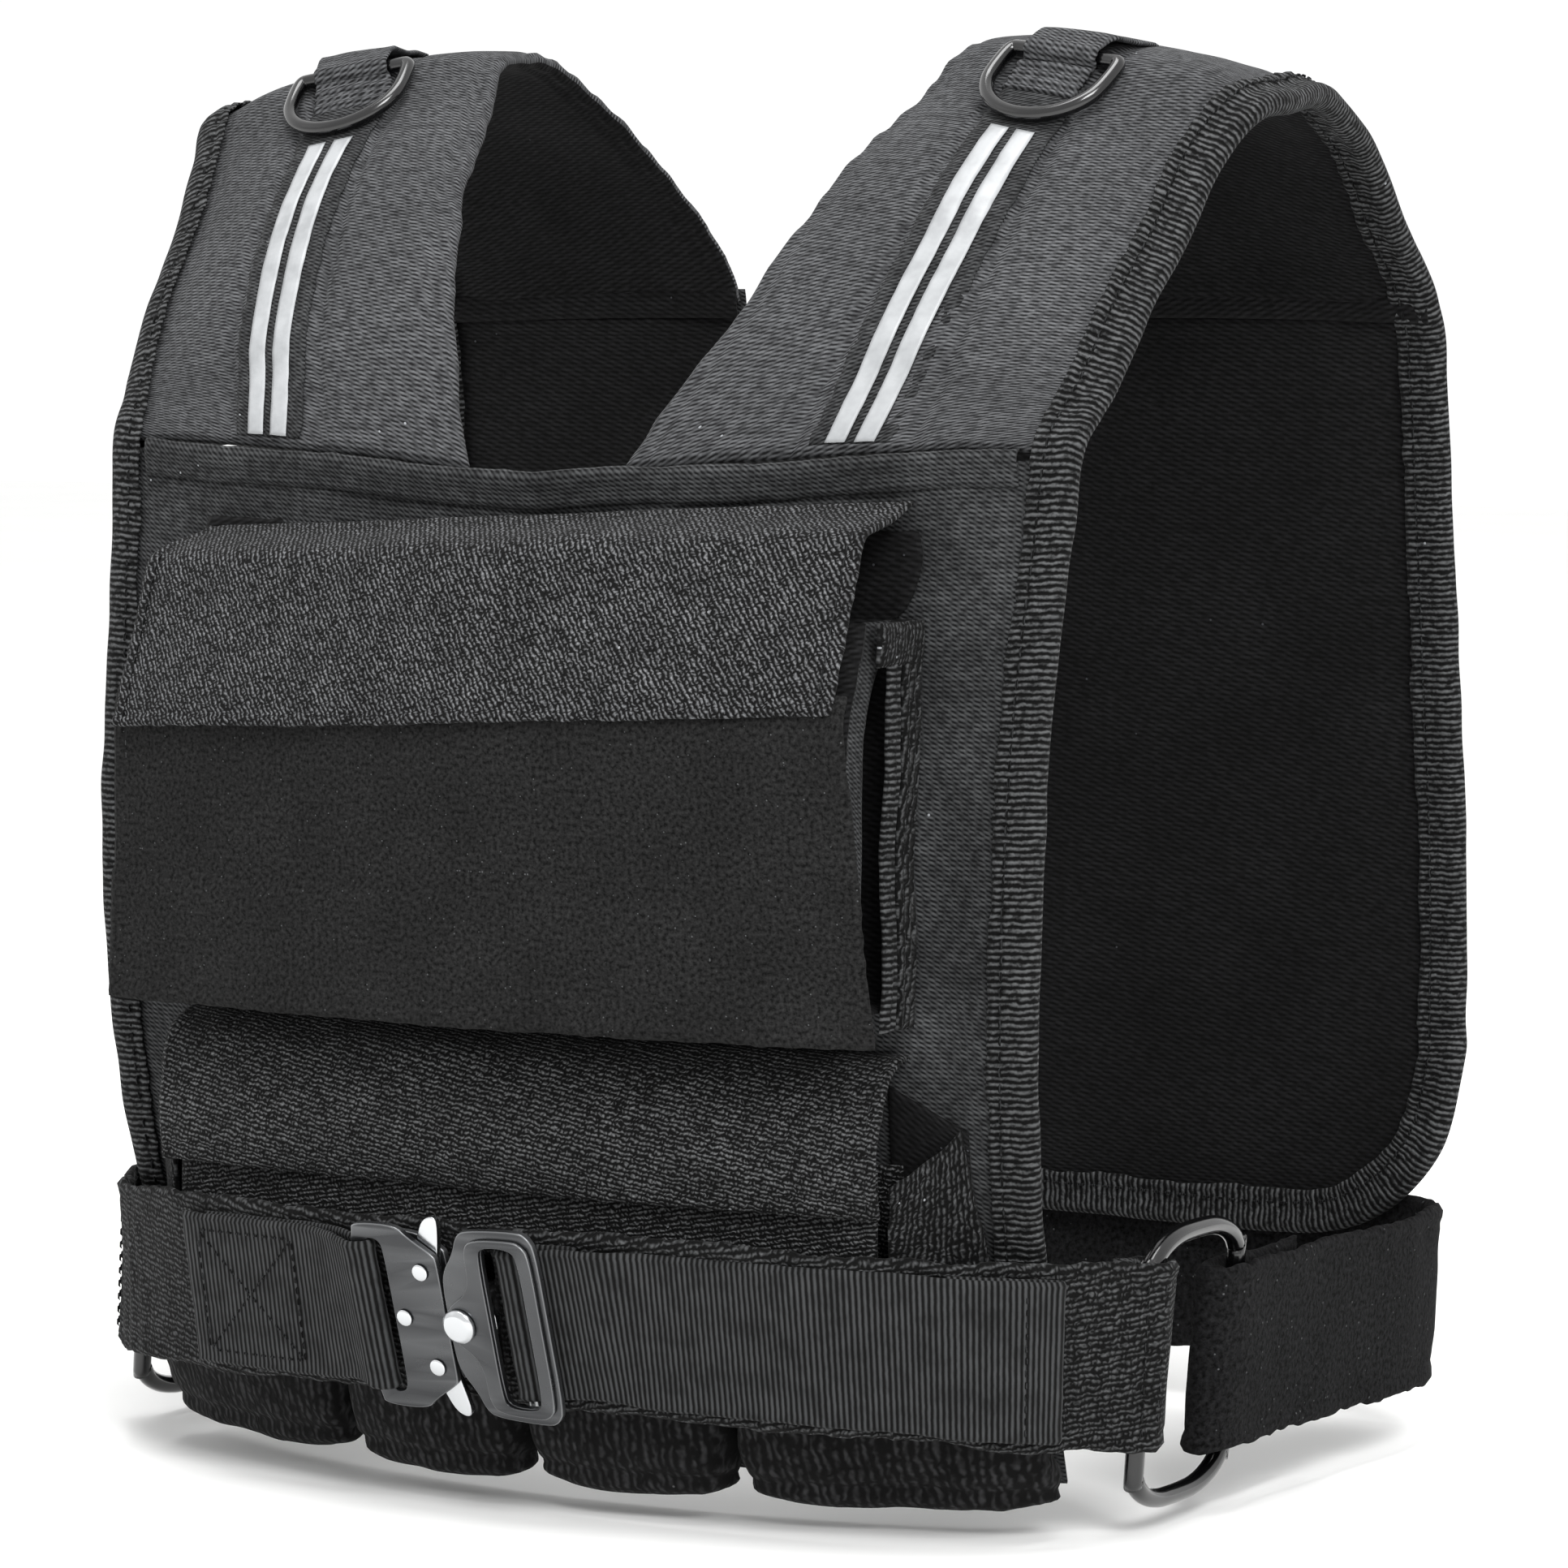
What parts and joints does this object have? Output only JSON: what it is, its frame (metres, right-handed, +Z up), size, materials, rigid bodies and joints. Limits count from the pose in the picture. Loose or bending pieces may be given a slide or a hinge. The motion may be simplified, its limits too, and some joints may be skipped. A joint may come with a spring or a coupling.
{
  "type": "weighted vest",
  "caption": "Worn weighted vest with wide shoulder straps, stacked front pouches, weight pouches along the hem, a loop-cloth belt on oblong rings and a flat metal release buckle.",
  "frame": {"origin": "midway between the shoulders, at the height where the straps rest on them", "axes": "+X to the wearer's left, +Z up, the front of the vest faces -Y"},
  "size_m": [0.4058, 0.3154, 0.4578],
  "materials": {
    "woven_nylon": "charcoal woven nylon with a fine horizontal rib",
    "binding_tape": "folded nylon binding tape with coarse cross ribs",
    "lining": "near black lining cloth",
    "loop_cloth": "pebbly loop cloth",
    "fleece": "short dense loop pile",
    "pouch_cloth": "dark coarse mesh cloth",
    "webbing": "ribbed nylon webbing",
    "reflective_tape": "light grey reflective tape",
    "black_metal": "glossy black coated steel",
    "black_plate": "satin black anodised plate",
    "steel": "bright steel"
  },
  "bodies": {
    "vest": {"strap_left": "woven_nylon", "strap_right": "woven_nylon", "front_panel": "woven_nylon", "back_panel": "lining", "armhole_binding_left": "binding_tape", "armhole_binding_right": "binding_tape", "neckline_hem": "woven_nylon", "shoulder_band_left": "webbing", "shoulder_band_right": "webbing", "stripe_inner_left": "reflective_tape", "stripe_inner_right": "reflective_tape", "stripe_outer_left": "reflective_tape", "stripe_outer_right": "reflective_tape", "ring_loop_left": "webbing", "ring_loop_right": "webbing", "upper_pouch": "lining", "pouch_front_panel": "fleece", "pouch_flap": "loop_cloth", "side_tab_left": "binding_tape", "side_tab_right": "binding_tape", "lower_pouch": "loop_cloth", "lower_pouch_flap": "loop_cloth", "lower_gusset_left": "loop_cloth", "lower_gusset_right": "loop_cloth", "weight_pouch_inner_left": "pouch_cloth", "weight_pouch_inner_right": "pouch_cloth", "weight_pouch_outer_left": "pouch_cloth", "weight_pouch_outer_right": "pouch_cloth", "belt_left": "loop_cloth", "belt_right": "loop_cloth", "belt_back": "fleece", "belt_ring_left": "black_metal", "belt_ring_right": "black_metal", "buckle_back_plate": "black_plate", "buckle_front_plate": "black_plate", "rivet_top": "steel", "rivet_bottom": "steel", "rivet_middle": "steel", "buckle_frame": "black_plate", "buckle_rim": "black_plate", "buckle_tongue": "steel", "buckle_stud": "steel", "webbing_right": "webbing", "webbing_left": "webbing", "buckle_slide_bar": "steel"},
    "shoulder_ring_left": {"d_ring_left": "black_metal"},
    "shoulder_ring_right": {"d_ring_right": "black_metal"},
    "upper_lever": {"lever_top": "steel"},
    "lower_lever": {"lever_bottom": "steel"}
  },
  "joints": [
    {"name": "ring_hinge_left", "type": "hinge", "parent": "vest", "child": "shoulder_ring_left", "pos_m": [0.13288, -0.01587, -0.00135], "axis": [-0.9828, 0.1135, 0.1457], "range_deg": [0, 120]},
    {"name": "ring_hinge_right", "type": "hinge", "parent": "vest", "child": "shoulder_ring_right", "pos_m": [-0.13288, -0.01587, -0.00135], "axis": [-0.9828, -0.1135, -0.1457], "range_deg": [0, 120]},
    {"name": "lever_hinge_top", "type": "hinge", "parent": "vest", "child": "upper_lever", "pos_m": [-0.0124, -0.15302, -0.36983], "axis": [0, 0.9551, 0.2964], "range_deg": [0, 12], "stiffness_Nm_per_rad": 0.3, "springref_deg": -2.86},
    {"name": "lever_hinge_bottom", "type": "hinge", "parent": "vest", "child": "lower_lever", "pos_m": [-0.0124, -0.14354, -0.40039], "axis": [0, -0.9551, -0.2964], "range_deg": [0, 12], "stiffness_Nm_per_rad": 0.3, "springref_deg": -2.86}
  ]
}
